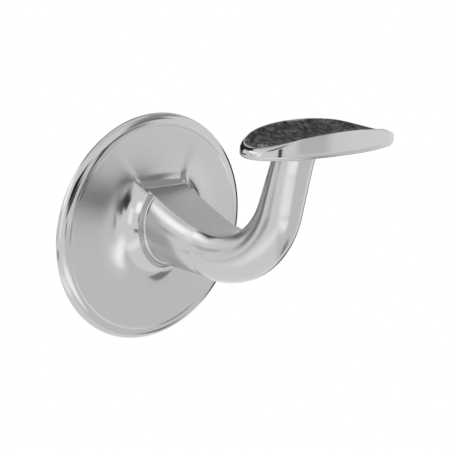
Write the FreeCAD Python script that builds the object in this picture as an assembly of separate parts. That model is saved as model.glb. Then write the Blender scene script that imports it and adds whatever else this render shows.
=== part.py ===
import FreeCAD, Part
import math
import os

# Handrail bracket: a round wall rose and a cast arm that carries a lens-shaped rail saddle.
# Millimetres. The wall is the plane Y = 0 and the arm stands out along -Y; +Z is up and X runs
# along the rail. The origin is the centre of the rose's back face.

# --- rose ---
ROSE_R = 40.0          # outside radius at the wall
ROSE_H = 2.6           # height of the rim's crest above the wall
RIM_ROUND = 2.2        # rounding of the outer edge
RIM_LAND = 0.5         # narrow crest between the rounding and the dished face
DISH = 0.35            # how far the face drops inside the crest
FOOT_R = 23.0          # radius where the face turns up into the neck
FOOT_RISE = 1.0        # how far the face climbs from the dish to that radius
NECK_H = 12.0          # height of the neck's end, where the arm seats
NECK_LIP = 0.6         # how far the neck stands proud of the arm all round
NECK_EDGE = 0.6        # rounding of the neck's end
NECK_SWEEP = 84.0      # turn of the neck's hollow sweep, degrees
NECK_STEPS = 9         # sections through that sweep
NECK_ROOT = 0.1        # how deep the neck is bedded in the face
RING_W = 5.0           # width of the ring that bears on the wall
RELIEF = 0.6           # relief of the back face inside that ring
HUB_R = 11.0           # central hub behind the neck
POCKET_R = 14.5        # pocket round the hub, at its floor
POCKET_H = 5.0         # height of the pocket's floor above the wall
POCKET_SLOPE = 40.0    # slope of the pocket's outer wall from upright, degrees
SEAT_GAP = 0.15        # clearance of the arm's spigot in the rose's bore, on radius

# --- arm, from the neck along the run and round the elbow to the saddle ---
TOP_Z = 14.0           # height of the flat inner face at the neck
FLARE_ANGLE = 23.0     # slope of the flat face where it leaves the neck, degrees
RUN_ANGLE = 11.8       # slope it has when the elbow begins
RUN_END = 33.4         # distance from the wall where the elbow begins
ELBOW_R = 20.8         # inside radius of the elbow
LEAN = 16.2            # outward lean of the upright, degrees
NECK_FLAT = 18.6       # width of the flat face at the neck
RUN_FLAT = 17.6        # ... on the run
ELBOW_FLAT = 13.6      # ... in the elbow
HEAD_FLAT = 12.6       # ... under the saddle
NECK_BODY = 27.4       # full width across the round side at the neck
RUN_BODY = 23.2        # ... on the run
ELBOW_BODY = 16.2      # ... in the elbow
HEAD_BODY = 15.2       # ... under the saddle
NECK_DEPTH = 25.8      # depth from the flat face to the round side at the neck
RUN_DEPTH = 18.4       # ... on the run
ELBOW_DEPTH = 14.0     # ... in the elbow
HEAD_DEPTH = 8.1       # ... under the saddle
BULGE = 0.38           # share of the depth where the section is widest
EDGE_R = 1.1           # rounded edges of the flat face
SIDE_STEPS = 7         # steps along each half of a section's round side
RUN_STEPS = 6          # sections along the run
ELBOW_STEPS = 14       # sections round the elbow
HEAD_STEPS = 3         # sections up to the saddle
ELBOW_FROM = 0.46      # share of the taper that is done where the elbow begins
ELBOW_TO = 0.87        # ... and where it ends
SPIGOT_R = 8.0         # spigot that locates the arm in the rose
SPIGOT_LEN = 9.0       # its length behind the neck
SPIGOT_LEAD = 0.8      # chamfer of its end
TAP_R = 3.4            # tapping-size hole for an M8 hanger bolt
TAP_DEPTH = 24.0       # its depth from the spigot's end
DRILL_POINT = 118.0    # included angle of the hole's floor, degrees

# --- saddle ---
SADDLE_LEN = 62.0      # along the rail
SADDLE_W = 22.6        # across the rail
SADDLE_POWER = 2.28    # fullness of the lens-shaped plan
PLAN_POINTS = 20       # points that its outline passes through
SADDLE_X = 10.5        # the saddle's middle lies off the arm along the rail
SADDLE_OUT = 66.0      # wall to the middle of the rail
SADDLE_Z = 38.0        # underside above the rose's centre
SEAT_WEB = 3.5         # thickness from the underside to the seat's lowest line
SEAT_R = 16.9          # radius of the rail seat
LOWER_EDGE = 1.6       # rounding of the saddle's lower edge
HEAD_REACH = 0.85      # share of that thickness that the arm's end runs up into
HEAD_FILLET = 1.6      # fillet between arm and saddle
SCREW_R = 2.25         # rail screw holes
SCREW_PITCH = 48.0     # distance between them
SINK_R = 4.4           # countersink radius on the underside
SINK_H = 2.0           # countersink depth

V = FreeCAD.Vector


def smooth_curve(points, closed=False):
    curve = Part.BSplineCurve()
    curve.interpolate(points, PeriodicFlag=closed)
    return curve.toShape()


def blend(values, t):
    """Smooth value at t = 0..1 through evenly spaced stations."""
    n = len(values) - 1
    i = min(int(t * n), n - 1)
    u = t * n - i
    lo, hi = values[i], values[i + 1]
    before = values[i - 1] if i > 0 else 2 * lo - hi
    after = values[i + 2] if i + 2 <= n else 2 * hi - lo
    a, b = (hi - before) / 2, (after - lo) / 2
    return lo + a * u + (3 * (hi - lo) - 2 * a - b) * u ** 2 + (2 * (lo - hi) + a + b) * u ** 3


def arm_section(t, grow=0.0):
    """The arm's flat-faced oval as (across, down) points, with the flat at down = 0: one
    rounded edge, the round side, and the other rounded edge."""
    f = blend((NECK_FLAT, RUN_FLAT, ELBOW_FLAT, HEAD_FLAT), t) / 2 - EDGE_R
    m = blend((NECK_BODY, RUN_BODY, ELBOW_BODY, HEAD_BODY), t) / 2 - EDGE_R
    d = blend((NECK_DEPTH, RUN_DEPTH, ELBOW_DEPTH, HEAD_DEPTH), t) - 2 * EDGE_R
    widest = BULGE * d
    upper = widest / math.sqrt(1 - (f / m) ** 2)
    start = -math.asin(widest / upper)
    r = EDGE_R + grow

    def side(a):
        b = upper if a < 0 else d - widest
        nx, ny = b * math.cos(a), m * math.sin(a)
        k = r / math.hypot(nx, ny)
        return m * math.cos(a) + nx * k, widest + b * math.sin(a) + ny * k + EDGE_R

    x, y = side(start)
    turn = math.atan2(x - f, EDGE_R - y)
    edge = [(f + r * math.sin(a), EDGE_R - r * math.cos(a)) for a in (0, turn / 2, turn)]
    half = [side(start + (math.pi / 2 - start) * i / SIDE_STEPS)
            for i in range(SIDE_STEPS + 1)]
    return edge, half + mirror(half[:-1]), mirror(edge)


def mirror(points):
    return [(-x, y) for x, y in reversed(points)]


def section_wire(t, place):
    """Closed wire of four edges through the section at t, set in space by place()."""
    edge, side, edge2 = arm_section(t)
    curve = smooth_curve([place(*p) for p in side])
    return Part.Wire([
        Part.LineSegment(place(*edge2[2]), place(*edge[0])).toShape(),
        Part.Arc(*[place(*p) for p in edge]).toShape(),
        curve,
        Part.Arc(*[place(*p) for p in edge2]).toShape()])


def arm_stations():
    """Stations along the flat face as (t, out, height, turn of the section plane)."""
    a, b, last = [math.radians(v) for v in (FLARE_ANGLE, RUN_ANGLE, 90 - LEAN)]
    flare_r = (RUN_END - NECK_H) / (math.sin(a) - math.sin(b))
    stations = []
    for i in range(RUN_STEPS):
        s = a + (b - a) * i / RUN_STEPS
        stations.append((ELBOW_FROM * i / RUN_STEPS, NECK_H + flare_r * (math.sin(a) - math.sin(s)),
                         TOP_Z - flare_r * (math.cos(s) - math.cos(a)), 0.0))
    centre_out = RUN_END + ELBOW_R * math.sin(b)
    centre_z = TOP_Z - flare_r * (math.cos(b) - math.cos(a)) + ELBOW_R * math.cos(b)
    for i in range(ELBOW_STEPS + 1):
        s = last * i / ELBOW_STEPS
        stations.append((ELBOW_FROM + (ELBOW_TO - ELBOW_FROM) * i / ELBOW_STEPS,
                         centre_out + ELBOW_R * math.sin(s), centre_z - ELBOW_R * math.cos(s), s))
    t, out, z, s = stations[-1]
    rise = (SADDLE_Z + HEAD_REACH * SEAT_WEB - z) / math.sin(last)
    for i in range(1, HEAD_STEPS + 1):
        share = i / HEAD_STEPS
        stations.append((t + (1 - t) * share, out + share * rise * math.cos(last),
                         z + share * rise * math.sin(last), s))
    return stations


def arm_body():
    wires = []
    for t, out, z, turn in arm_stations():
        def place(x, down, out=out, z=z, turn=turn):
            return V(x, -(out + down * math.sin(turn)), z - down * math.cos(turn))
        wires.append(section_wire(t, place))
    return Part.makeLoft(wires, True, True)


def turned(profile):
    """Solid of revolution about the Y axis from (radius, height) corners."""
    pts = [V(r, -h, 0) for r, h in profile]
    face = Part.Face(Part.makePolygon(pts + [pts[0]]))
    return face.revolve(V(0, 0, 0), V(0, 1, 0), 360)


def neck_wire(share, height, lip=NECK_LIP):
    """Closed curve between the neck's end (share = 0) and the round foot (share = 1)."""
    edge, side, edge2 = arm_section(0.0, lip)
    flat = [(x * edge[0][0], edge[0][1]) for x in (-0.5, 0.0, 0.5)]
    points = []
    for x, down in flat + edge + side[1:-1] + edge2:
        z = TOP_Z - down
        scale = 1 + share * (FOOT_R / math.hypot(x, z) - 1)
        points.append(V(x * scale, -height, z * scale))
    return Part.Wire(smooth_curve(points, True))


def neck(foot_h):
    """Concave neck that sweeps from the round foot up to the arm's outline, with a rounded end."""
    full = math.radians(NECK_SWEEP)
    shoulder_h = NECK_H - NECK_EDGE
    sweep = []
    for i in range(NECK_STEPS + 1):
        a = full * (1 - i / NECK_STEPS)
        share = (1 - math.cos(a)) / (1 - math.cos(full))
        sweep.append(neck_wire(share, shoulder_h - (shoulder_h - foot_h) * math.sin(a) / math.sin(full)))
    end = []
    for a in (0, math.pi / 4, math.pi / 2):
        lip = NECK_LIP - NECK_EDGE * (1 - math.cos(a))
        end.append(neck_wire(0, shoulder_h + NECK_EDGE * math.sin(a), lip))
    return Part.makeLoft(sweep + end[1:], True, True)


def make_rose():
    crest_r = ROSE_R - RIM_ROUND - RIM_LAND
    dish_h = ROSE_H - DISH
    foot_h = dish_h + FOOT_RISE
    plate = turned([(0, 0), (ROSE_R, 0), (ROSE_R, ROSE_H), (crest_r, ROSE_H),
                    (crest_r - DISH, dish_h), (FOOT_R, foot_h), (0, foot_h)])
    corner = [e for e in plate.Edges if len(e.Vertexes) == 1
              and abs(e.Vertexes[0].X - ROSE_R) < 1e-6 and abs(e.Vertexes[0].Y + ROSE_H) < 1e-6]
    plate = plate.makeFillet(RIM_ROUND, corner)
    body = plate.fuse(neck(foot_h - NECK_ROOT))
    slope = math.tan(math.radians(POCKET_SLOPE))
    pocket_out = POCKET_R + (POCKET_H - RELIEF) * slope
    body = body.cut(turned([(HUB_R, -1), (HUB_R, POCKET_H), (POCKET_R, POCKET_H),
                            (pocket_out, RELIEF), (ROSE_R - RING_W, RELIEF), (ROSE_R - RING_W, -1)]))
    bore = SPIGOT_R + SEAT_GAP
    return body.cut(turned([(0, -1), (bore, -1), (bore, NECK_H + 1), (0, NECK_H + 1)]))


def saddle_wire(z, inset=0.0):
    """Lens-shaped plan of the saddle at height z."""
    points = []
    for i in range(PLAN_POINTS):
        a = 2 * math.pi * (i + 0.5) / PLAN_POINTS
        c, s = math.cos(a), math.sin(a)
        x = (SADDLE_LEN / 2 - inset) * math.copysign(abs(c) ** (2 / SADDLE_POWER), c)
        y = (SADDLE_W / 2 - inset) * math.copysign(abs(s) ** (2 / SADDLE_POWER), s)
        points.append(V(SADDLE_X + x, -SADDLE_OUT + y, z))
    return Part.Wire(smooth_curve(points, True))


def saddle():
    """Lens-shaped plate with a rounded lower edge and a rail seat rolled along its top."""
    rim_h = SEAT_WEB + SEAT_R - math.sqrt(SEAT_R ** 2 - (SADDLE_W / 2) ** 2)
    edge = []
    for a in (0, math.pi / 6, math.pi / 3, math.pi / 2):
        edge.append(saddle_wire(SADDLE_Z + LOWER_EDGE * (1 - math.cos(a)),
                                LOWER_EDGE * (1 - math.sin(a))))
    base = Part.makeLoft(edge, True, True)
    plan = Part.Face(saddle_wire(SADDLE_Z + LOWER_EDGE))
    blank = base.fuse(plan.extrude(V(0, 0, rim_h - LOWER_EDGE + 1)))
    seat_z = SADDLE_Z + SEAT_WEB + SEAT_R
    rail = Part.makeCylinder(SEAT_R, 2 * SADDLE_LEN, V(SADDLE_X - SADDLE_LEN, -SADDLE_OUT, seat_z),
                             V(1, 0, 0))
    return blank.cut(rail)


def screw_tool(x):
    hole = Part.makeCylinder(SCREW_R, 3 * SEAT_WEB, V(x, -SADDLE_OUT, SADDLE_Z - SEAT_WEB))
    sink = Part.makeCone(SINK_R, SCREW_R, SINK_H, V(x, -SADDLE_OUT, SADDLE_Z))
    return hole.fuse(sink)


def make_arm():
    body = arm_body().fuse(saddle())
    joint = [e for e in body.Edges if abs(e.BoundBox.ZMin - SADDLE_Z) < 1e-3
             and abs(e.BoundBox.ZMax - SADDLE_Z) < 1e-3 and e.BoundBox.XMax < HEAD_BODY]
    body = body.makeFillet(HEAD_FILLET, joint)
    end = NECK_H - SPIGOT_LEN
    body = body.fuse(turned([(0, end), (SPIGOT_R - SPIGOT_LEAD, end), (SPIGOT_R, end + SPIGOT_LEAD),
                             (SPIGOT_R, NECK_H + 1), (0, NECK_H + 1)]))
    floor = end + TAP_DEPTH
    point = TAP_R / math.tan(math.radians(DRILL_POINT / 2))
    body = body.cut(turned([(0, end - 1), (TAP_R, end - 1), (TAP_R, floor), (0, floor + point)]))
    for side in (-1, 1):
        body = body.cut(screw_tool(SADDLE_X + side * SCREW_PITCH / 2))
    return body


if __name__ == "__main__":
    os.makedirs("parts", exist_ok=True)
    for name, shape in (("rose", make_rose()), ("arm", make_arm())):
        shape.exportStep("parts/" + name + ".step")
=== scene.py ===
"""Looks of a chrome handrail bracket: wall rose, flat-faced arm and lens-shaped rail saddle.

Everything is in metres in the frame of the packed model: the wall is the plane y = 0, the arm
stands out along -y, x runs along the rail and z is up.
"""
import math

import bmesh
import bpy
from mathutils import Matrix, Vector


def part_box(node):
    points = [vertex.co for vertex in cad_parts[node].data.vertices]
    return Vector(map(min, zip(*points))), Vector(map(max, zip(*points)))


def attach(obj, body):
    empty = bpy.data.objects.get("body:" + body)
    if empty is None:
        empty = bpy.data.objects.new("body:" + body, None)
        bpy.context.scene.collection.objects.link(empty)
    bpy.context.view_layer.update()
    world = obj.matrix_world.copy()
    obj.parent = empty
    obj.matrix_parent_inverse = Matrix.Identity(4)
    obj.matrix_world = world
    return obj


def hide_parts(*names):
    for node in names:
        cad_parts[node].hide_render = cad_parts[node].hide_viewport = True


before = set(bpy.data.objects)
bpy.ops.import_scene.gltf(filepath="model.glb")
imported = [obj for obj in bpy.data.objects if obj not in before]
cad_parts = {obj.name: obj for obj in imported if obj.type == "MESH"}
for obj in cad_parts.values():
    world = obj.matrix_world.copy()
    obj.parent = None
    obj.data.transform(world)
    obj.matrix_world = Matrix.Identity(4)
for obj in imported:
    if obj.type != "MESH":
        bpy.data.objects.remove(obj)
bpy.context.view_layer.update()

bl_info = {
    "name": "Handrail Bracket",
    "version": (1, 0, 0),
    "blender": (4, 5, 0),
    "location": "3D View > Sidebar > Handrail Bracket",
    "description": "Builds a chrome handrail bracket and the studio around it",
    "category": "Add Mesh",
}

BODY = "root"
SHARP_ANGLE = math.radians(32)
AROUND = 288             # points in each ring of the rose and the saddle
MERGE = 1e-7             # points nearer than this are one

# The rose
LIP_STEPS, SWEEP_STEPS, DISH_STEPS, RIM_STEPS = 6, 72, 20, 24    # rings in each part of the front
WALL_INSET = 0.0002      # draws the outer edge in at the wall
DISH_LEAN = 1.3          # above 1, the hollow rises later, nearer the rim's crest
NECK_FLAT_TO = 35        # degrees from straight up where the arm's flat no longer shapes the neck
NECK_FLAT_FADE = 10      # degrees over which it fades out there
FACE_BEGINS = (0.0165, 0.023)                                    # radii where the softer face fades in
FACE_ENDS = (0.0345, 0.036)                                      # and where it fades out below the rim
FACE_SOFTNESS = 0.17     # roughness added there

# The arm and its tapped hole
FLAT_STEPS, CORNER_STEPS, SIDE_STEPS = 18, 6, 34                 # points round the section
FLARE_STEPS, ELBOW_STEPS, UPRIGHT_STEPS = 26, 60, 20             # stations along the arm
FILLET_STEPS = 12
HEAD_REACH = 0.85        # share of the saddle's web that the upright reaches into
HEAD_SINK = 0.00005      # the fillet's last ring stands this far inside the saddle
HEAD_END = 0.0012        # and the arm ends this far above it
FILLET_GAP = 0.0004      # bare height left below the fillet's first ring
ROOT_COVER = 0.0008      # the flat runs on into the neck by this beyond its cut
DRILL_POINT = math.radians(59)
DRILL_TIP = 0.00002      # radius at the very point of the drilled hole
THREAD_STEPS = 8         # rings in each turn of the thread
THREAD_MOUTH = 0.0003    # widening of the hole at the spigot's end
THREAD_START = 0.0004    # depth of that widening
HOLE_MARGIN = 0.0001     # faces this near the hole's surface are cut metal

# The saddle
EDGE_STEPS, WALL_STEPS, HOLE_STEPS = 12, 8, 48                   # rings, and points round a screw hole
END_FROM, END_RUN = 0.55, 0.45                                   # start and run of the rounder ends
UNDER_RINGS = (0.02, 0.35, 0.7, 0.9)                             # shares of the way out below
SEAT_RINGS = (1.0, 0.93, 0.8, 0.65, 0.5, 0.35, 0.2, 0.02)        # and back across the seat
SEAT_FACING = 0.3        # faces of the seat look up by at least this
CUT_BELOW, CUT_ABOVE = 0.001, 0.010                              # reach of the screw hole cutter


def size(name, text, value):
    """A length that a user may change."""
    return bpy.props.FloatProperty(name=name, description=text, default=value, unit="LENGTH",
                                   precision=5)


def turn(name, text, degrees):
    """An angle that a user may change."""
    return bpy.props.FloatProperty(name=name, description=text, default=math.radians(degrees),
                                   subtype="ANGLE", unit="ROTATION")


def share(name, text, value, top=1.0):
    """A number without a unit that a user may change."""
    return bpy.props.FloatProperty(name=name, description=text, default=value, min=0.0, max=top)


def taper(name, text, values):
    """Four lengths from the neck to the head of the arm."""
    return bpy.props.FloatVectorProperty(name=name, description=text, size=4, default=values,
                                         unit="LENGTH", precision=5)


def colour(name, text, value):
    """A colour that a user may change."""
    return bpy.props.FloatVectorProperty(name=name, description=text, default=value, size=3,
                                         subtype="COLOR", min=0.0, max=1.0)


class RoseSizes(bpy.types.PropertyGroup):
    """Sizes of the wall rose."""
    radius: size("Radius", "Outside radius at the wall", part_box("rose")[1].x)
    height: size("Rim Height", "Height of the rim's crest above the wall", 0.0026)
    rim_depth: size("Rim Depth", "Height of the rounded outer edge", 0.0024)
    rim_width: size("Rim Width", "Width of the rounded outer edge, from outside to crest", 0.0036)
    dish: size("Dish", "Drop of the face inside the crest", 0.00022)
    dish_run: size("Dish Run", "Width of the hollow that drops from the crest to the face", 0.0010)
    sweep: share("Sweep", "Flatness of the face before it sweeps up into the neck", 3.5, 6.0)
    sweep_top: share("Sweep Top", "Straightness of the neck above the sweep", 2.0, 6.0)
    flat_cut: size("Flat Cut", "How far the arm's flat runs into the neck's upper side", 0.0027)
    neck_height: size("Neck Height", "Distance of the neck's end from the wall", -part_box("rose")[0].y)
    neck_lip: size("Neck Lip", "How far the neck stands proud of the arm", 0.0006)
    neck_edge: size("Neck Edge", "Rounding of the neck's end", 0.0006)
    ring_width: size("Ring Width", "Width of the ring that bears on the wall", 0.005)
    relief: size("Relief", "Relief of the back face", 0.0006)
    hub_radius: size("Hub Radius", "Radius of the hub at the back", 0.011)
    pocket_radius: size("Pocket Radius", "Radius of the pocket's floor round the hub", 0.0145)
    pocket_height: size("Pocket Height", "Height of the pocket's floor above the wall", 0.005)
    pocket_slope: turn("Pocket Slope", "Slope of the pocket's outer wall from upright", 40.0)
    bore: size("Bore Radius", "Radius of the bore for the arm's spigot", 0.00815)


class ArmSizes(bpy.types.PropertyGroup):
    """Sizes of the arm, in the order neck, run, elbow, head."""
    top: size("Top", "Height of the flat face at the neck", 0.014)
    flare: turn("Flare", "Slope of the flat face at the neck", 23.0)
    run: turn("Run", "Slope of the flat face where the elbow begins", 11.8)
    run_end: size("Run End", "Distance from the wall where the elbow begins", 0.0334)
    elbow: size("Elbow Radius", "Inside radius of the elbow", 0.0208)
    lean: turn("Lean", "Outward lean of the upright", 16.2)
    flats: taper("Flat Widths", "Width of the flat face", (0.0186, 0.0176, 0.0136, 0.0126))
    widths: taper("Body Widths", "Width across the round side", (0.0250, 0.0226, 0.0162, 0.0152))
    depths: taper("Depths", "Depth from the flat to the round side", (0.0240, 0.0184, 0.0140, 0.0081))
    bulge: share("Bulge", "Share of the depth where the section is widest", 0.38)
    elbow_from: share("Elbow From", "Share of the taper done where the elbow begins", 0.46)
    elbow_to: share("Elbow To", "Share of the taper done where the elbow ends", 0.87)
    edge: size("Edge Radius", "Rounded edges of the flat face", 0.0011)
    head_fillet: size("Head Fillet", "Fillet under the saddle", 0.0016)
    spigot: size("Spigot Radius", "Radius of the spigot in the rose", 0.008)
    spigot_length: size("Spigot Length", "Length of the spigot behind the neck", 0.009)
    spigot_lead: size("Spigot Lead", "Chamfer of the spigot's end", 0.0008)
    thread: size("Thread Radius", "Outside radius of the tapped thread", 0.004)
    thread_core: size("Thread Core", "Radius of the tapping hole", 0.0034)
    pitch: size("Thread Pitch", "Pitch of the thread", 0.00125)
    tap_depth: size("Tap Depth", "Depth of the tapped hole", 0.024)


class SaddleSizes(bpy.types.PropertyGroup):
    """Sizes of the rail saddle."""
    length: size("Length", "Length along the rail", 0.062)
    width: size("Width", "Width across the rail", 0.0226)
    power: share("Fullness", "Power of the lens-shaped plan", 2.28, 6.0)
    along: size("Along", "Middle of the saddle along the rail", 0.0105)
    out: size("Out", "Wall to the middle of the rail", 0.066)
    underside: size("Underside", "Height of the underside", 0.038)
    web: size("Web", "Thickness under the lowest line of the seat", 0.0035)
    seat: size("Seat Radius", "Radius of the rail seat", 0.0169)
    lower_edge: size("Lower Edge", "Rounding of the lower edge", 0.0016)
    lower_end: size("Lower End", "Rounding of the lower edge at the two ends", 0.0013)
    rim_edge: size("Rim Edge", "Rounding of the upper rim", 0.0004)
    rim_end: size("Rim End", "Rounding of the upper rim at the two ends", 0.0019)
    rim_width: size("Rim Width", "Polished width of the upper rim", 0.0003)
    screw: size("Screw Hole", "Radius of the rail screw holes", 0.00225)
    screw_pitch: size("Screw Pitch", "Distance between the rail screw holes", 0.048)
    sink: size("Sink Radius", "Countersink radius on the underside", 0.0044)
    sink_depth: size("Sink Depth", "Depth of the countersink", 0.002)


class FinishColours(bpy.types.PropertyGroup):
    """Colours of the metal."""
    chrome: colour("Chrome", "Polished chrome plate", (0.56, 0.565, 0.57))
    casting: colour("Casting", "Bare casting on the seat", (0.035, 0.035, 0.035))
    casting_light: colour("Casting High Spots", "Rubbed spots of the casting", (0.20, 0.20, 0.20))
    steel: colour("Steel", "Cut metal in the tapped hole", (0.42, 0.42, 0.41))


# ---------------------------------------------------------------- mesh helpers

def ring_loft(bm, rings, closed=False, caps=(False, False)):
    """Skins rings of equally many points: each ring is extruded from the one before it."""
    tag = bm.verts.layers.int.new("place")
    first = bmesh.ops.create_circle(bm, segments=len(rings[0]), radius=1.0)["verts"]
    for i, v in enumerate(first):
        v[tag] = i
        v.co = rings[0][i]
    start = edges = list(bm.edges)
    for ring in rings[1:]:
        made = bmesh.ops.extrude_edge_only(bm, edges=edges)["geom"]
        new = {v for v in made if isinstance(v, bmesh.types.BMVert)}
        for v in new:
            v.co = ring[v[tag]]
        edges = [e for e in made if isinstance(e, bmesh.types.BMEdge) and new.issuperset(e.verts)]
    if closed:
        bmesh.ops.bridge_loops(bm, edges=start + edges)
    for wanted, loop in zip(caps, (start, edges)):
        if wanted:
            bmesh.ops.contextual_create(bm, geom=loop)
    bm.verts.layers.int.remove(tag)


def mesh_object(name, bm, materials=()):
    """Puts a bmesh into the scene as an object, and frees it."""
    mesh = bpy.data.meshes.new(name)
    bm.to_mesh(mesh)
    bm.free()
    for material in materials:
        mesh.materials.append(material)
    made = bpy.data.objects.new(name, mesh)
    bpy.context.scene.collection.objects.link(made)
    return made


def finish_piece(name, bm, materials, replaced):
    """Turns a bmesh into a smooth piece that rides on the bracket and stands for a CAD node."""
    bmesh.ops.remove_doubles(bm, verts=bm.verts, dist=MERGE)
    bmesh.ops.recalc_face_normals(bm, faces=bm.faces)
    for face in bm.faces:
        face.smooth = True
    for edge in bm.edges:
        edge.smooth = not edge.is_manifold or edge.calc_face_angle(0.0) < SHARP_ANGLE
    piece = mesh_object(name, bm, materials)
    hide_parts(replaced)
    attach(piece, BODY)
    return piece


def steps(low, high, count):
    """Evenly spaced values from low to high, both included."""
    return [low + (high - low) * i / count for i in range(count + 1)]


def smooth(u):
    """Eases 0 to 1 with level ends, and holds beyond them."""
    u = min(max(u, 0.0), 1.0)
    return u * u * (3 - 2 * u)


def end_share(along):
    """0 over the middle of the saddle, 1 at its two ends; along is a share of its half length."""
    return smooth((along - END_FROM) / END_RUN)


def upper_share(angle):
    """1 over the arm's flat, 0 round the rest of the neck; angle from straight up."""
    away = abs((math.degrees(angle) + 180) % 360 - 180)
    return smooth((NECK_FLAT_TO - away) / NECK_FLAT_FADE)


# ---------------------------------------------------------------- the arm's section

def blend(values, t):
    """Smooth value at t = 0..1 through evenly spaced stations."""
    n = len(values) - 1
    i = min(int(t * n), n - 1)
    u = t * n - i
    lo, hi = values[i], values[i + 1]
    before = values[i - 1] if i > 0 else 2 * lo - hi
    after = values[i + 2] if i + 2 <= n else 2 * hi - lo
    a, b = (hi - before) / 2, (after - lo) / 2
    return lo + a * u + (3 * (hi - lo) - 2 * a - b) * u ** 2 + (2 * (lo - hi) + a + b) * u ** 3


def arm_section(arm, t, grow=0.0):
    """Flat-faced oval as (across, down) points, with the flat at down = 0."""
    f = blend(arm.flats, t) / 2 - arm.edge
    m = blend(arm.widths, t) / 2 - arm.edge
    d = blend(arm.depths, t) - 2 * arm.edge
    widest = arm.bulge * d
    upper = widest / math.sqrt(1 - (f / m) ** 2)
    start = -math.asin(widest / upper)
    r = arm.edge + grow

    def side(a):
        b = upper if a < 0 else d - widest
        nx, ny = b * math.cos(a), m * math.sin(a)
        k = r / math.hypot(nx, ny)
        return m * math.cos(a) + nx * k, widest + b * math.sin(a) + ny * k + arm.edge

    x, y = side(start)
    last = math.atan2(x - f, arm.edge - y)
    flat = [(u * f, arm.edge - r) for u in steps(-1, 1, FLAT_STEPS)[1:-1]]
    corner = [(f + r * math.sin(a), arm.edge - r * math.cos(a)) for a in steps(0, last, CORNER_STEPS)]
    half = [side(a) for a in steps(start, math.pi / 2, SIDE_STEPS)[1:]]
    right = corner + half
    left = [(-x, y) for x, y in reversed(right[:-1])]
    return flat + right + left


def arm_path(arm, saddle, neck_height):
    """Stations along the flat face as (t, out, height, turn of the section plane)."""
    a, b, last = arm.flare, arm.run, math.radians(90) - arm.lean
    flare_r = (arm.run_end - neck_height) / (math.sin(a) - math.sin(b))
    path = []
    for u in steps(0, 1, FLARE_STEPS)[:-1]:
        s = a + (b - a) * u
        path.append((arm.elbow_from * u, neck_height + flare_r * (math.sin(a) - math.sin(s)),
                     arm.top - flare_r * (math.cos(s) - math.cos(a)), 0.0))
    centre_out = arm.run_end + arm.elbow * math.sin(b)
    centre_z = arm.top - flare_r * (math.cos(b) - math.cos(a)) + arm.elbow * math.cos(b)
    for u in steps(0, 1, ELBOW_STEPS):
        s = last * u
        path.append((arm.elbow_from + (arm.elbow_to - arm.elbow_from) * u,
                     centre_out + arm.elbow * math.sin(s), centre_z - arm.elbow * math.cos(s), s))
    t, out, z, s = path[-1]
    rise = (saddle.underside + HEAD_REACH * saddle.web - z) / math.sin(last)
    for u in steps(0, 1, UPRIGHT_STEPS)[1:]:
        path.append((t + (1 - t) * u, out + u * rise * math.cos(last), z + u * rise * math.sin(last), s))
    return path


def place(station, across, down):
    """Point of a section in its plane at one station of the path."""
    out, z, angle = station[1:]
    return Vector((across, -(out + down * math.sin(angle)), z - down * math.cos(angle)))


# ---------------------------------------------------------------- materials

def add(nodes, kind, sockets=None, **settings):
    """New shader node with its own settings and the values of its sockets."""
    node = nodes.new("ShaderNode" + kind)
    for name, value in settings.items():
        setattr(node, name, value)
    for name, value in (sockets or {}).items():
        node.inputs[name].default_value = value
    return node


def new_material(name):
    """Material with a Principled shader, its nodes and its links."""
    material = bpy.data.materials.new(name)
    material.use_nodes = True
    return material, material.node_tree.nodes, material.node_tree.links


def surface_group():
    """Fine unevenness of a worked metal surface: a roughness value and a height."""
    group = bpy.data.node_groups.new("worked surface", "ShaderNodeTree")
    for way, names in (("INPUT", SURFACE_INPUTS), ("OUTPUT", ("Roughness", "Height"))):
        for name in names:
            group.interface.new_socket(name, in_out=way, socket_type="NodeSocketFloat")
    nodes, links = group.nodes, group.links
    given, out = nodes.new("NodeGroupInput"), nodes.new("NodeGroupOutput")
    coords = add(nodes, "TexCoord")
    mixed = add(nodes, "Mix")
    for detail, scale, side in ((1.0, "Wave Scale", "A"), (6.0, "Grain Scale", "B")):
        texture = add(nodes, "TexNoise", {"Detail": detail})
        links.new(coords.outputs["Object"], texture.inputs["Vector"])
        links.new(given.outputs[scale], texture.inputs["Scale"])
        links.new(texture.outputs["Fac"], mixed.inputs[side])
    links.new(given.outputs["Grain Share"], mixed.inputs["Factor"])
    spread = add(nodes, "Math", operation="MULTIPLY_ADD")
    for i, value in enumerate((mixed.outputs["Result"], given.outputs["Roughness Spread"],
                               given.outputs["Roughness"])):
        links.new(value, spread.inputs[i])
    links.new(spread.outputs["Value"], out.inputs["Roughness"])
    links.new(mixed.outputs["Result"], out.inputs["Height"])
    return group


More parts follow.
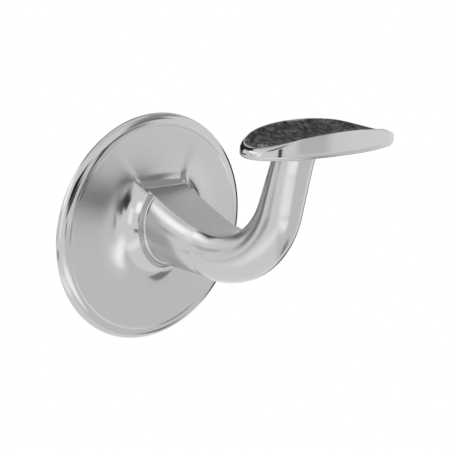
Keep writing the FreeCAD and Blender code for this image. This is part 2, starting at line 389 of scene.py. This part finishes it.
def soften_face(nodes, links, colours):
    """Adds roughness on the rose's broad face, and none at its neck and its rim."""
    coords, split, flat = add(nodes, "TexCoord"), add(nodes, "SeparateXYZ"), add(nodes, "CombineXYZ")
    radius = add(nodes, "VectorMath", operation="LENGTH")
    links.new(coords.outputs["Object"], split.inputs[0])
    for axis in "XZ":
        links.new(split.outputs[axis], flat.inputs[axis])
    links.new(flat.outputs[0], radius.inputs[0])
    face = add(nodes, "MapRange", {"From Min": FACE_BEGINS[0], "From Max": FACE_BEGINS[1],
                                   "To Max": FACE_SOFTNESS}, interpolation_type="SMOOTHSTEP")
    edge = add(nodes, "MapRange", {"From Min": FACE_ENDS[0], "From Max": FACE_ENDS[1],
                                   "To Min": 1.0, "To Max": 0.0})
    both, total = add(nodes, "Math", operation="MULTIPLY"), add(nodes, "Math")
    for i, node in enumerate((face, edge)):
        links.new(radius.outputs["Value"], node.inputs["Value"])
        links.new(node.outputs["Result"], both.inputs[i])
    links.new(nodes["worked surface"].outputs["Roughness"], total.inputs[0])
    links.new(both.outputs[0], total.inputs[1])
    links.new(total.outputs[0], nodes["Principled BSDF"].inputs["Roughness"])


def rub_casting(nodes, links, colours):
    """Lightens the high spots of the rough casting."""
    coords = add(nodes, "TexCoord")
    spots = add(nodes, "TexNoise", {"Scale": 620.0, "Detail": 7.0, "Roughness": 0.65})
    ramp = add(nodes, "ValToRGB")
    for element, position, shade in zip(ramp.color_ramp.elements, (0.44, 0.66),
                                        (colours.casting, colours.casting_light)):
        element.position = position
        element.color = (*shade, 1.0)
    links.new(coords.outputs["Object"], spots.inputs["Vector"])
    links.new(spots.outputs["Fac"], ramp.inputs["Fac"])
    links.new(ramp.outputs["Color"], nodes["Principled BSDF"].inputs["Base Color"])


SURFACE_INPUTS = ("Roughness", "Roughness Spread", "Wave Scale", "Grain Scale", "Grain Share")
# colour, height of the bump, what else the finish has, and the values of SURFACE_INPUTS
FINISHES = {
    "polished chrome": ("chrome", 0.00002, None, (0.07, 0.05, 45.0, 700.0, 0.1)),
    "rose chrome": ("chrome", 0.00002, soften_face, (0.07, 0.05, 45.0, 700.0, 0.1)),
    "buffed chrome": ("chrome", 0.00006, None, (0.14, 0.10, 90.0, 700.0, 0.1)),
    "cut steel": ("steel", 0.00003, None, (0.28, 0.1, 400.0, 3000.0, 0.5)),
    "bare casting": ("casting", 0.00025, rub_casting, (0.45, 0.25, 700.0, 2600.0, 0.5)),
}


def metal(context, name):
    """One of the finishes, with the shared worked surface in its roughness and bump."""
    if name in bpy.data.materials:
        return bpy.data.materials[name]
    colours = context.scene.bracket_colours
    base, bump, extra, values = FINISHES[name]
    material, nodes, links = new_material(name)
    shader = nodes["Principled BSDF"]
    shader.inputs["Base Color"].default_value = (*getattr(colours, base), 1.0)
    shader.inputs["Metallic"].default_value = 1.0
    worked = add(nodes, "Group", name="worked surface",
                 node_tree=bpy.data.node_groups.get("worked surface") or surface_group())
    for socket, value in zip(SURFACE_INPUTS, values):
        worked.inputs[socket].default_value = value
    height = add(nodes, "Bump", {"Strength": 1.0, "Distance": bump})
    links.new(worked.outputs["Roughness"], shader.inputs["Roughness"])
    links.new(worked.outputs["Height"], height.inputs["Height"])
    links.new(height.outputs["Normal"], shader.inputs["Normal"])
    if extra:
        extra(nodes, links, colours)
    return material


# ---------------------------------------------------------------- pieces

class BRACKET_OT_rose(bpy.types.Operator):
    """Build the wall rose: rim, dished face, hollow neck, and the relieved back with its hub"""
    bl_idname = "bracket.rose"
    bl_label = "Wall Rose"
    bl_options = {"REGISTER", "UNDO"}

    def neck_radii(self, arm):
        """Distance from the axis to the arm's outline in the neck at each angle, from straight up."""
        outline = [(x, arm.top - down) for x, down in arm_section(arm, 0.0)]
        outline.append(outline[0])
        spots = []
        for (x1, z1), (x2, z2) in zip(outline, outline[1:]):
            for u in (0.0, 0.25, 0.5, 0.75):
                x, z = x1 + (x2 - x1) * u, z1 + (z2 - z1) * u
                spots.append((math.atan2(x, z) % math.tau, math.hypot(x, z)))
        spots.sort()
        (first, first_r), (last, last_r) = spots[0], spots[-1]
        spots = [(last - math.tau, last_r), *spots, (first + math.tau, first_r)]
        radii, k = [], 0
        for i in range(AROUND):
            a = math.tau * i / AROUND
            while spots[k + 1][0] < a:
                k += 1
            (a1, r1), (a2, r2) = spots[k], spots[k + 1]
            radii.append(r1 + (r2 - r1) * (a - a1) / max(a2 - a1, 1e-12))
        return radii

    def execute(self, context):
        rose, arm = context.scene.bracket_rose, context.scene.bracket_arm
        radii = self.neck_radii(arm)
        crest_r = rose.radius - rose.rim_width
        dish_r, dish_h = crest_r - rose.dish_run, rose.height - rose.dish
        shoulder = rose.neck_height - rose.neck_edge
        cut_rise = rose.flat_cut * math.tan(arm.flare)
        rings = []

        def ring(radius, height, grow=0.0, spread=1.0):
            """spread 1 is a circle of the radius, spread 0 the neck's own outline."""
            points = []
            for i, own in enumerate(radii):
                a = math.tau * i / AROUND
                upper = upper_share(a)
                r = (own + cut_rise * upper + grow * (1 - upper)) * (1 - spread) + radius * spread
                back = rose.flat_cut * (upper * (1 - spread)) * height / rose.neck_height
                points.append(Vector((r * math.sin(a), back - height, r * math.cos(a))))
            rings.append(points)

        pocket_rise = rose.pocket_height - rose.relief
        pocket_out = rose.pocket_radius + pocket_rise * math.tan(rose.pocket_slope)
        ring_in = rose.radius - rose.ring_width
        back_face = ((rose.radius - WALL_INSET, 0.0), (ring_in, 0.0), (ring_in, rose.relief),
                     (pocket_out, rose.relief), (rose.pocket_radius, rose.pocket_height),
                     (rose.hub_radius, rose.pocket_height), (rose.hub_radius, 0.0), (rose.bore, 0.0),
                     (rose.bore, rose.neck_height))
        for r, h in back_face:
            ring(r, h)
        for a in steps(math.pi / 2, 0, LIP_STEPS):
            ring(0, shoulder + rose.neck_edge * math.sin(a),
                 rose.neck_lip - rose.neck_edge * (1 - math.cos(a)), 0.0)
        for a in steps(0, math.pi / 2, SWEEP_STEPS)[1:-1]:
            u = math.cos(a) ** (2 / rose.sweep)
            v = 1 - math.sin(a) ** (2 / rose.sweep_top)
            ring(dish_r, dish_h + (shoulder - dish_h) * v, rose.neck_lip, 1 - u)
        for u in steps(0, 1, DISH_STEPS):
            ring(dish_r + rose.dish_run * u,
                 dish_h + rose.dish * (1 - math.cos(math.pi * u ** DISH_LEAN)) / 2)
        for a in steps(0, math.pi / 2, RIM_STEPS)[1:]:
            ring(rose.radius - rose.rim_width * (1 - math.sin(a)),
                 rose.height - rose.rim_depth * (1 - math.cos(a)))
        bm = bmesh.new()
        ring_loft(bm, rings, closed=True)
        finish_piece("wall_rose", bm, [metal(context, "rose chrome")], "rose")
        return {"FINISHED"}


class BRACKET_OT_arm(bpy.types.Operator):
    """Build the arm: spigot with its tapped hole, flared root, elbow and the fillet under the saddle"""
    bl_idname = "bracket.arm"
    bl_label = "Arm"
    bl_options = {"REGISTER", "UNDO"}

    def execute(self, context):
        scene = context.scene
        arm, saddle, neck = scene.bracket_arm, scene.bracket_saddle, scene.bracket_rose.neck_height
        angles = [math.atan2(x, arm.top - down) for x, down in arm_section(arm, 0.0)]
        end = neck - arm.spigot_length
        floor = end + arm.tap_depth
        rings = []

        def circle(radius, out):
            rings.append([Vector((radius * math.sin(a), -out, radius * math.cos(a))) for a in angles])

        circle(DRILL_TIP, floor + arm.thread_core / math.tan(DRILL_POINT))
        circle(arm.thread_core, floor)
        count = int(arm.tap_depth / arm.pitch * THREAD_STEPS)
        for out in steps(floor - arm.pitch, end + THREAD_START, count):
            rings.append([])
            for a in angles:
                phase = (out / arm.pitch + a / math.tau) % 1.0
                r = arm.thread_core + (arm.thread - arm.thread_core) * abs(2 * phase - 1)
                rings[-1].append(Vector((r * math.sin(a), -out, r * math.cos(a))))
        circle(arm.thread + THREAD_MOUTH, end)
        circle(arm.spigot - arm.spigot_lead, end)
        circle(arm.spigot, end + arm.spigot_lead)
        root = scene.bracket_rose.flat_cut + ROOT_COVER
        circle(arm.spigot, neck - root)
        path = [(0.0, neck - root * u, arm.top + root * u * math.tan(arm.flare), 0.0)
                for u in (1.0, 0.75, 0.5, 0.25)] + arm_path(arm, saddle, neck)
        low = saddle.underside - arm.head_fillet
        for station in path:
            if station[2] > low - FILLET_GAP:
                break
            top = station
            rings.append([place(station, x, down) for x, down in arm_section(arm, station[0])])
        self.head(arm, saddle, rings, top, low)
        bm = bmesh.new()
        ring_loft(bm, rings, caps=(True, True))
        piece = finish_piece("arm_limb", bm,
                             [metal(context, "buffed chrome"), metal(context, "cut steel")], "arm")
        hole = arm.thread + THREAD_MOUTH + HOLE_MARGIN
        for face in piece.data.polygons:
            x, y, z = face.center
            if -y < floor + arm.thread_core and math.hypot(x, z) < hole:
                face.material_index = 1
        return {"FINISHED"}

    def head(self, arm, saddle, rings, top, low):
        """Level rings of the fillet above the station top, and the arm's end inside the saddle."""
        lean = Vector((0, -math.cos(top[3]), math.sin(top[3])))
        reach = saddle.underside + HEAD_REACH * saddle.web - top[2]
        turns = steps(0, math.pi / 2, FILLET_STEPS)
        for a in turns:
            z = low + arm.head_fillet * math.sin(a) + (HEAD_SINK if a == turns[-1] else 0.0)
            t = top[0] + (1 - top[0]) * (z - top[2]) / reach
            level = []
            for x, down in arm_section(arm, t, arm.head_fillet * (1 - math.cos(a))):
                p = place(top, x, down)
                level.append(p + lean * ((z - p.z) / lean.z))
            rings.append(level)
        rings.append([p + Vector((0, 0, HEAD_END)) for p in rings[-1]])


class BRACKET_OT_saddle(bpy.types.Operator):
    """Build the rail saddle: polished sides and rim, bare rough seat, and two countersunk screw holes"""
    bl_idname = "bracket.saddle"
    bl_label = "Rail Saddle"
    bl_options = {"REGISTER", "UNDO"}

    def outline(self, saddle, side, end):
        """Lens-shaped plan, offset inwards along its normals by more or less at its two ends."""
        a, b, p = saddle.length / 2, saddle.width / 2, saddle.power
        points = []
        for i in range(AROUND):
            angle = math.tau * (i + 0.5) / AROUND
            c, s = math.cos(angle), math.sin(angle)
            x, y = abs(c) ** (2 / p), abs(s) ** (2 / p)
            n = Vector((x ** (p - 1) / a, y ** (p - 1) / b)).normalized()
            inset = side + (end - side) * end_share(x)
            x, y = x * a - n.x * inset, y * b - n.y * inset
            points.append((math.copysign(x, c), math.copysign(y, s)))
        return points

    def seat_height(self, saddle, y):
        """Height of the round seat at a distance across from its lowest line."""
        return saddle.underside + saddle.web + saddle.seat - math.sqrt(saddle.seat ** 2 - y ** 2)

    def execute(self, context):
        saddle = context.scene.bracket_saddle
        rings = []
        half = saddle.length / 2
        lower = (saddle.lower_edge, saddle.lower_end)
        upper = (saddle.rim_edge, saddle.rim_end)

        def eased(pair, x):
            """First value over the middle, second at the ends."""
            return pair[0] + (pair[1] - pair[0]) * end_share(abs(x) / half)

        plan = self.outline(saddle, 0.0, 0.0)
        low = [saddle.underside + eased(lower, x) for x, y in plan]
        high = [self.seat_height(saddle, y) - eased(upper, x) for x, y in plan]

        def ring(points, heights):
            rings.append([Vector((saddle.along + x, -saddle.out + y, z))
                          for (x, y), z in zip(points, heights)])

        inner = self.outline(saddle, *lower)
        for u in UNDER_RINGS:
            ring([(x * u, y * u) for x, y in inner], [saddle.underside] * AROUND)
        for a in steps(0, math.pi / 2, EDGE_STEPS):
            ring(self.outline(saddle, *(r * (1 - math.sin(a)) for r in lower)),
                 [saddle.underside + (z - saddle.underside) * (1 - math.cos(a)) for z in low])
        for u in steps(0, 1, WALL_STEPS)[1:]:
            ring(plan, [z0 + (z1 - z0) * u for z0, z1 in zip(low, high)])
        for a in steps(0, math.pi / 2, EDGE_STEPS)[1:]:
            edge = self.outline(saddle, *(r * (1 - math.cos(a)) for r in upper))
            ring(edge, [self.seat_height(saddle, y) - eased(upper, p[0]) * (1 - math.sin(a))
                        for (x, y), p in zip(edge, plan)])
        inner = self.outline(saddle, *(r + saddle.rim_width for r in upper))
        for u in SEAT_RINGS:
            cast = [(x * u, y * u) for x, y in inner]
            ring(cast, [self.seat_height(saddle, y) for x, y in cast])
        bm = bmesh.new()
        ring_loft(bm, rings, caps=(True, True))
        piece = finish_piece("rail_saddle", bm,
                             [metal(context, "polished chrome"), metal(context, "bare casting")], "arm")
        limit = [math.hypot(x, y) for x, y in inner]
        for face in piece.data.polygons:
            x, y = face.center.x - saddle.along, face.center.y + saddle.out
            a = math.atan2(math.copysign((abs(y) / saddle.width * 2) ** (saddle.power / 2), y),
                           math.copysign((abs(x) / half) ** (saddle.power / 2), x))
            nearest = int(a / math.tau * AROUND) % AROUND
            if face.normal.z > SEAT_FACING and math.hypot(x, y) < limit[nearest]:
                face.material_index = 1
        self.drill(context, piece, saddle)
        return {"FINISHED"}

    def drill(self, context, piece, saddle):
        """Cuts the two screw holes with one cutter and keeps the result as the piece's mesh."""
        profile = [(0.0, -CUT_BELOW), (saddle.sink, -CUT_BELOW), (saddle.sink, 0.0),
                   (saddle.screw, saddle.sink_depth), (saddle.screw, CUT_ABOVE), (0.0, CUT_ABOVE)]
        bm = bmesh.new()
        for side in (-1, 1):
            x, y, z = saddle.along + side * saddle.screw_pitch / 2, -saddle.out, saddle.underside
            verts = [bm.verts.new((x + r, y, z + h)) for r, h in profile]
            edges = [bm.edges.new(pair) for pair in zip(verts, verts[1:])]
            bmesh.ops.spin(bm, geom=verts + edges, cent=(x, y, z), axis=(0, 0, 1), dvec=(0, 0, 0),
                           angle=math.tau, steps=HOLE_STEPS, use_merge=True)
        bmesh.ops.remove_doubles(bm, verts=bm.verts, dist=1e-6)
        bmesh.ops.recalc_face_normals(bm, faces=bm.faces)
        cutter = mesh_object("screw_hole_cutter", bm)
        cut = piece.modifiers.new("screw holes", "BOOLEAN")
        cut.object = cutter
        cut.operation = "DIFFERENCE"
        cut.solver = "EXACT"
        context.view_layer.update()
        drilled = bpy.data.meshes.new_from_object(piece.evaluated_get(context.evaluated_depsgraph_get()))
        drilled.name = "rail_saddle"
        piece.modifiers.clear()
        piece.data = drilled
        drilled.set_sharp_from_angle(angle=SHARP_ANGLE)
        bpy.data.objects.remove(cutter)


# ---------------------------------------------------------------- the studio

def seen_rays(nodes, links):
    """1 for what the camera sees directly, in metal or through glass."""
    path = add(nodes, "LightPath")
    first, second = (add(nodes, "Math", operation="MAXIMUM") for _ in range(2))
    links.new(path.outputs["Is Camera Ray"], first.inputs[0])
    links.new(path.outputs["Is Glossy Ray"], first.inputs[1])
    links.new(first.outputs["Value"], second.inputs[0])
    links.new(path.outputs["Is Transmission Ray"], second.inputs[1])
    return second.outputs["Value"]


def direction(azimuth, elevation):
    """Unit vector: azimuth 0 is straight out from the wall and +90 along +x, in degrees."""
    a, e = math.radians(azimuth), math.radians(elevation)
    return Vector((math.sin(a) * math.cos(e), -math.cos(a) * math.cos(e), math.sin(e)))


def card_material(name, radiance, soft):
    """Evenly lit card whose edges fade out over the share soft of its half width."""
    material, nodes, links = new_material(name)
    nodes.remove(nodes["Principled BSDF"])
    coords, split = add(nodes, "UVMap"), add(nodes, "SeparateXYZ")
    links.new(coords.outputs["UV"], split.inputs["Vector"])
    mask, mix = add(nodes, "Math", operation="MULTIPLY"), add(nodes, "MixShader")
    for i, axis in enumerate("XY"):
        centred = add(nodes, "Math", {1: 0.5}, operation="SUBTRACT")
        distance = add(nodes, "Math", operation="ABSOLUTE")
        fade = add(nodes, "MapRange", {"From Min": 0.5, "From Max": 0.5 - soft / 2},
                   interpolation_type="SMOOTHSTEP")
        links.new(split.outputs[axis], centred.inputs[0])
        links.new(centred.outputs["Value"], distance.inputs[0])
        links.new(distance.outputs["Value"], fade.inputs["Value"])
        links.new(fade.outputs["Result"], mask.inputs[i])
    glow, clear = add(nodes, "Emission", {"Strength": radiance}), add(nodes, "BsdfTransparent")
    links.new(mask.outputs["Value"], mix.inputs["Fac"])
    links.new(clear.outputs["BSDF"], mix.inputs[1])
    links.new(glow.outputs["Emission"], mix.inputs[2])
    links.new(mix.outputs["Shader"], nodes["Material Output"].inputs["Surface"])
    return material


def card(name, azimuth, elevation, wide, high, radiance, soft=0.4, away=1.1):
    """Studio card seen from the object in one direction, wide by high degrees across."""
    bm = bmesh.new()
    bm.loops.layers.uv.new("card")
    bmesh.ops.create_grid(bm, x_segments=1, y_segments=1, size=0.5, calc_uvs=True)
    spread = [2 * away * math.tan(math.radians(angle / 2)) for angle in (wide, high)]
    bmesh.ops.scale(bm, vec=(*spread, 1.0), verts=bm.verts)
    towards = direction(azimuth, elevation)
    look = (-towards).to_track_quat("Z", "Y").to_matrix().to_4x4()
    bmesh.ops.transform(bm, matrix=Matrix.Translation(STUDIO_CENTRE + towards * away) @ look,
                        verts=bm.verts)
    made = mesh_object(name, bm, [card_material(name, radiance, soft)])
    made.visible_camera = made.visible_shadow = False


class BRACKET_OT_studio(bpy.types.Operator):
    """Build the studio: white surround, pale floor, light and dark cards, and the camera"""
    bl_idname = "bracket.studio"
    bl_label = "Studio"
    bl_options = {"REGISTER", "UNDO"}

    def execute(self, context):
        scene = context.scene
        scene.view_settings.view_transform = "Standard"
        world = bpy.data.worlds.new("white surround")
        scene.world = world
        world.use_nodes = True
        nodes, links = world.node_tree.nodes, world.node_tree.links
        nodes["Background"].inputs["Color"].default_value = (1.0, 1.0, 1.0, 1.0)
        strength = add(nodes, "MapRange", {"To Min": LIT, "To Max": WHITE})
        links.new(seen_rays(nodes, links), strength.inputs["Value"])
        links.new(strength.outputs["Result"], nodes["Background"].inputs["Strength"])
        self.floor()
        for values in CARDS:
            card(*values)
        self.camera(scene)
        return {"FINISHED"}

    def floor(self):
        """Pale disc that keeps the bracket's shadow and is seen white."""
        bm = bmesh.new()
        bmesh.ops.create_circle(bm, cap_ends=True, segments=96, radius=FLOOR_RADIUS)
        bmesh.ops.translate(bm, verts=bm.verts, vec=(0.0, 0.0, FLOOR_HEIGHT))
        material, nodes, links = new_material("pale floor")
        shader = nodes["Principled BSDF"]
        for socket, value in (("Base Color", (0.8, 0.8, 0.8, 1.0)), ("Roughness", 0.9),
                              ("Specular IOR Level", 0.0)):
            shader.inputs[socket].default_value = value
        glow, mix = add(nodes, "Emission", {"Strength": WHITE}), add(nodes, "MixShader")
        links.new(seen_rays(nodes, links), mix.inputs["Fac"])
        links.new(shader.outputs["BSDF"], mix.inputs[1])
        links.new(glow.outputs["Emission"], mix.inputs[2])
        links.new(mix.outputs["Shader"], nodes["Material Output"].inputs["Surface"])
        mesh_object("pale_floor", bm, [material])

    def camera(self, scene):
        """Camera to one side of the bracket and a little above it, leaning slightly."""
        camera = bpy.data.cameras.new("camera")
        camera.sensor_width, camera.lens = CAMERA_SENSOR, CAMERA_LENS
        camera.clip_start, camera.clip_end = 0.01, 20.0
        look = direction(CAMERA_SIDE, CAMERA_RISE).to_track_quat("Z", "Y").to_matrix()
        made = bpy.data.objects.new("camera", camera)
        made.rotation_mode = "QUATERNION"
        made.rotation_quaternion = (look @ Matrix.Rotation(CAMERA_ROLL, 3, "Z")).to_quaternion()
        made.location = CAMERA_PLACE
        scene.collection.objects.link(made)
        scene.camera = made


class BRACKET_PT_panel(bpy.types.Panel):
    """Sidebar panel that lists the bracket's pieces"""
    bl_idname = "BRACKET_PT_panel"
    bl_label = "Handrail Bracket"
    bl_space_type = "VIEW_3D"
    bl_region_type = "UI"
    bl_category = "Handrail Bracket"

    def draw(self, context):
        layout = self.layout
        for operator in PIECES:
            layout.operator(operator.bl_idname)
        for name, group in GROUPS.items():
            box = layout.box()
            box.label(text=group.__doc__)
            for key in group.__annotations__:
                box.prop(getattr(context.scene, name), key)


STUDIO_CENTRE = Vector((0.0, -0.04, 0.01))
LIT, WHITE = 0.7, 1.0    # strength of the surround where it only lights, and where it is seen
FLOOR_HEIGHT, FLOOR_RADIUS = -1.3, 4.0
CAMERA_PLACE = (-0.2460, -0.2990, 0.1035)
CAMERA_SIDE, CAMERA_RISE, CAMERA_ROLL = -43.2, 14.72, math.radians(3.01)
CAMERA_LENS, CAMERA_SENSOR = 92.16, 36.0
# Cards round the bracket, which the camera doesn't see: bright ones light the chrome, and dark ones
# give it dark lines. Each has a name, azimuth, elevation, degrees wide, degrees high, brightness,
# softness and distance.
CARDS = (
    ("card_overhead", 0, 82, 60, 50, 0.85),
    ("card_high_right", 65, 48, 60, 28, 0.42),
    ("card_mid_right", 38, 30, 32, 22, 0.28, 0.5),
    ("card_dark_hood", -21, 16, 38, 26, 0.03, 0.4),
    ("card_dark_body", -8, 2, 40, 15, 0.10, 0.5),
    ("card_dark_foot", -4, -11, 7, 8, 0.02, 0.3),
    ("card_front_grey", 29, 12, 22, 20, 0.36, 0.7),
    ("card_face_left", 28, -3, 30, 21, 0.74, 0.5),
    ("card_face_light", 60, -4, 34, 21, 1.04, 0.5),
    ("card_face_grey", 38, -38, 84, 50, 0.84, 0.15),
    ("card_flat_low", 128, 27, 44, 40, 0.60, 0.2),
    ("card_flat_high", 122, 57, 50, 18, 0.50, 0.5),
    ("card_edge_back", 172, 28, 50, 64, 0.03, 0.2),
    ("card_edge_high", -166, 48, 50, 24, 0.04, 0.3),
    ("card_edge_low", -168, 8, 28, 60, 0.03, 0.3),
    ("card_left_strip", -122, 34, 24, 26, 1.70, 0.7),
    ("card_left_high", -92, 24, 44, 36, 1.60, 0.7),
    ("card_left_dark", -143, -10, 36, 18, 0.20, 0.7),
    ("card_left_bar", -125, 6, 12, 14, 0.40, 0.8),
    ("card_left_line", -98, -25, 52, 12, 0.35, 0.8),
    ("card_left_post", -104, 0, 6, 26, 0.20, 0.5),
    ("card_left_tall", -60, 2, 26, 36, 1.30),
    ("card_low_left", -70, -50, 90, 24, 1.25, 0.7),
    ("card_root_light", 1, -33, 74, 24, 1.50, 0.9),
    ("card_wall_flag", 110, -15, 32, 56, 0.02, 0.3, 0.14),
    ("card_low_dark", 66, -46, 24, 14, 0.30),
)
PIECES = (BRACKET_OT_rose, BRACKET_OT_arm, BRACKET_OT_saddle, BRACKET_OT_studio)
GROUPS = {"bracket_rose": RoseSizes, "bracket_arm": ArmSizes, "bracket_saddle": SaddleSizes,
          "bracket_colours": FinishColours}


def register():
    """Registers the classes and hangs the sizes and colours on the scene."""
    for cls in (*GROUPS.values(), *PIECES, BRACKET_PT_panel):
        bpy.utils.register_class(cls)
    for name, group in GROUPS.items():
        setattr(bpy.types.Scene, name, bpy.props.PointerProperty(type=group))


def unregister():
    """Takes all of it off again."""
    for name in GROUPS:
        delattr(bpy.types.Scene, name)
    for cls in reversed((*GROUPS.values(), *PIECES, BRACKET_PT_panel)):
        bpy.utils.unregister_class(cls)


def main():
    """Builds everything."""
    register()
    for operator in (bpy.ops.bracket.rose, bpy.ops.bracket.arm, bpy.ops.bracket.saddle,
                     bpy.ops.bracket.studio):
        operator()


if __name__ == "__main__":
    main()
